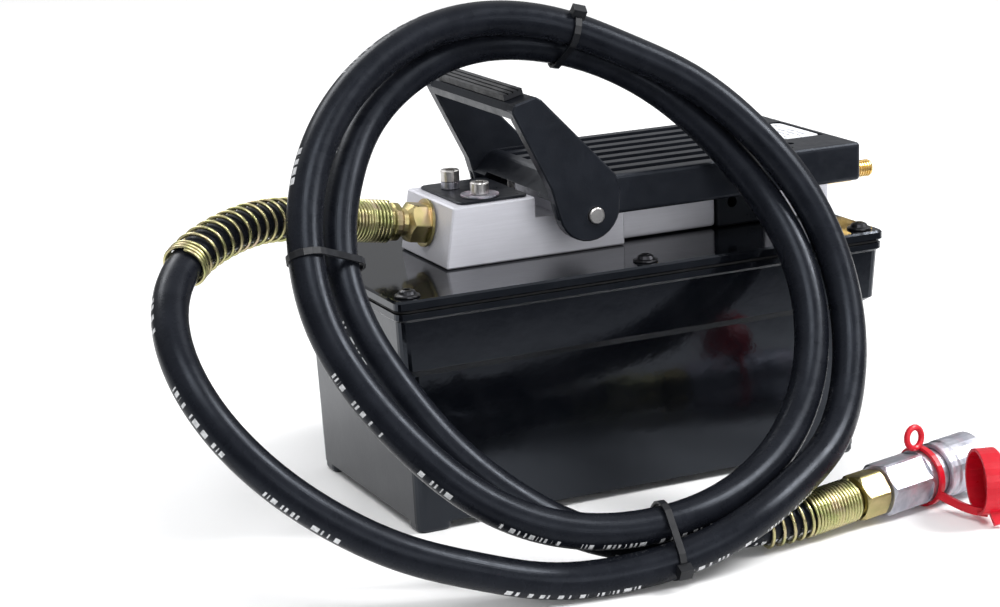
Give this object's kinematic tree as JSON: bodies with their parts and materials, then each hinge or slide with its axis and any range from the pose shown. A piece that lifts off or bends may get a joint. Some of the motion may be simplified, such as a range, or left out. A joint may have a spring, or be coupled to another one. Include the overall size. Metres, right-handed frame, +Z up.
{
  "type": "air hydraulic foot pump",
  "caption": "Foot-operated air-driven hydraulic pump: cast oil tank, rocking treadle, air motor and a leaning coil of hose that ends in a quick coupler with a tethered red dust cap.",
  "frame": {"origin": "on the floor under the middle of the pump's own box, from the tank's left side to the air inlet's tip, without the hose", "axes": "+X runs along the tank from the hose port to the air inlet, +Y points to the back, away from the coiled hose, +Z is up"},
  "size_m": [0.4544, 0.2869, 0.2603],
  "materials": {
    "gloss_black_paint": "aluminium casting in gloss black enamel",
    "satin_black_paint": "satin black",
    "black_casting": "satin black coated aluminium casting",
    "black_oxide_steel": "black oxide",
    "satin_aluminium": "machined, satin",
    "bright_steel": "ground bright steel",
    "zinc_plate": "bright zinc plate",
    "yellow_zinc": "yellow zinc plate",
    "brass": "turned brass",
    "hose_rubber": "smooth black hose cover",
    "seal_rubber": "soft black rubber",
    "tread_rubber": "ribbed black rubber",
    "black_nylon": "black nylon",
    "red_plastic": "moulded red PVC",
    "label_white": "blank label stock",
    "filter_mesh": "woven strainer"
  },
  "bodies": {
    "pump": {"tank_body": "gloss_black_paint", "tank_lid": "gloss_black_paint", "block_top_plate": "satin_black_paint", "air_valve_housing": "satin_black_paint", "lid_screw_1": "black_oxide_steel", "lid_screw_2": "black_oxide_steel", "lid_screw_3": "black_oxide_steel", "lid_screw_4": "black_oxide_steel", "lid_screw_5": "black_oxide_steel", "lid_screw_6": "black_oxide_steel", "pump_block": "satin_aluminium", "air_motor_body": "satin_aluminium", "motor_end_head": "satin_aluminium", "inlet_check_ball": "bright_steel", "outlet_check_ball": "bright_steel", "pivot_pin": "bright_steel", "plate_screw_near": "bright_steel", "plate_screw_far": "bright_steel", "valve_return_spring": "bright_steel", "coupler_body": "zinc_plate", "wide_washer": "zinc_plate", "screw_spacer": "zinc_plate", "suction_tube": "zinc_plate", "hose_nipple": "yellow_zinc", "port_ferrule": "yellow_zinc", "port_spring_guard": "yellow_zinc", "coupler_ferrule": "yellow_zinc", "coupler_spring_guard": "yellow_zinc", "hose_nut": "yellow_zinc", "air_inlet_fitting": "brass", "hose": "hose_rubber", "lid_gasket": "seal_rubber", "pivot_spacer_near": "black_nylon", "pivot_spacer_far": "black_nylon", "tie_left": "black_nylon", "tie_top": "black_nylon", "tie_bottom": "black_nylon", "dust_cap": "red_plastic", "suction_filter": "filter_mesh"},
    "treadle": {"treadle": "black_casting", "release_tread": "tread_rubber", "rating_label": "label_white"},
    "air_valve_pin": {"air_valve_pin": "bright_steel"},
    "release_pin": {"release_pin": "bright_steel"},
    "air_piston": {"air_piston": "satin_aluminium", "piston_seal": "seal_rubber", "plunger": "bright_steel"},
    "coupler_sleeve": {"coupler_sleeve": "zinc_plate"},
    "coupler_poppet": {"coupler_poppet": "bright_steel"}
  },
  "joints": [
    {"name": "treadle_rock", "type": "hinge", "parent": "pump", "child": "treadle", "pos_m": [-0.0408, 0, 0.1486], "axis": [0, 1, 0], "range_deg": [-4, 3], "stiffness_Nm_per_rad": 25},
    {"name": "air_valve_slide", "type": "slide", "parent": "pump", "child": "air_valve_pin", "axis": [0, 0, 1], "range_m": [-0.00512, 0.00683], "deforming": ["valve_return_spring"]},
    {"name": "release_slide", "type": "slide", "parent": "pump", "child": "release_pin", "axis": [0, 0, 1], "range_m": [-0.00113, 0.00085]},
    {"name": "piston_slide", "type": "slide", "parent": "pump", "child": "air_piston", "axis": [1, 0, 0], "range_m": [-0.01, 0.006]},
    {"name": "coupler_sleeve_slide", "type": "slide", "parent": "pump", "child": "coupler_sleeve", "axis": [0.983, 0.1806, 0.032], "range_m": [-0.004, 0], "stiffness_N_per_m": 600},
    {"name": "coupler_poppet_slide", "type": "slide", "parent": "pump", "child": "coupler_poppet", "axis": [0.983, 0.1806, 0.032], "range_m": [-0.0015, 0], "stiffness_N_per_m": 600}
  ],
  "couplings": [
    {"joint": "air_valve_slide", "follows": "treadle_rock", "m_per_rad": -0.0978},
    {"joint": "release_slide", "follows": "treadle_rock", "m_per_rad": 0.0162}
  ]
}
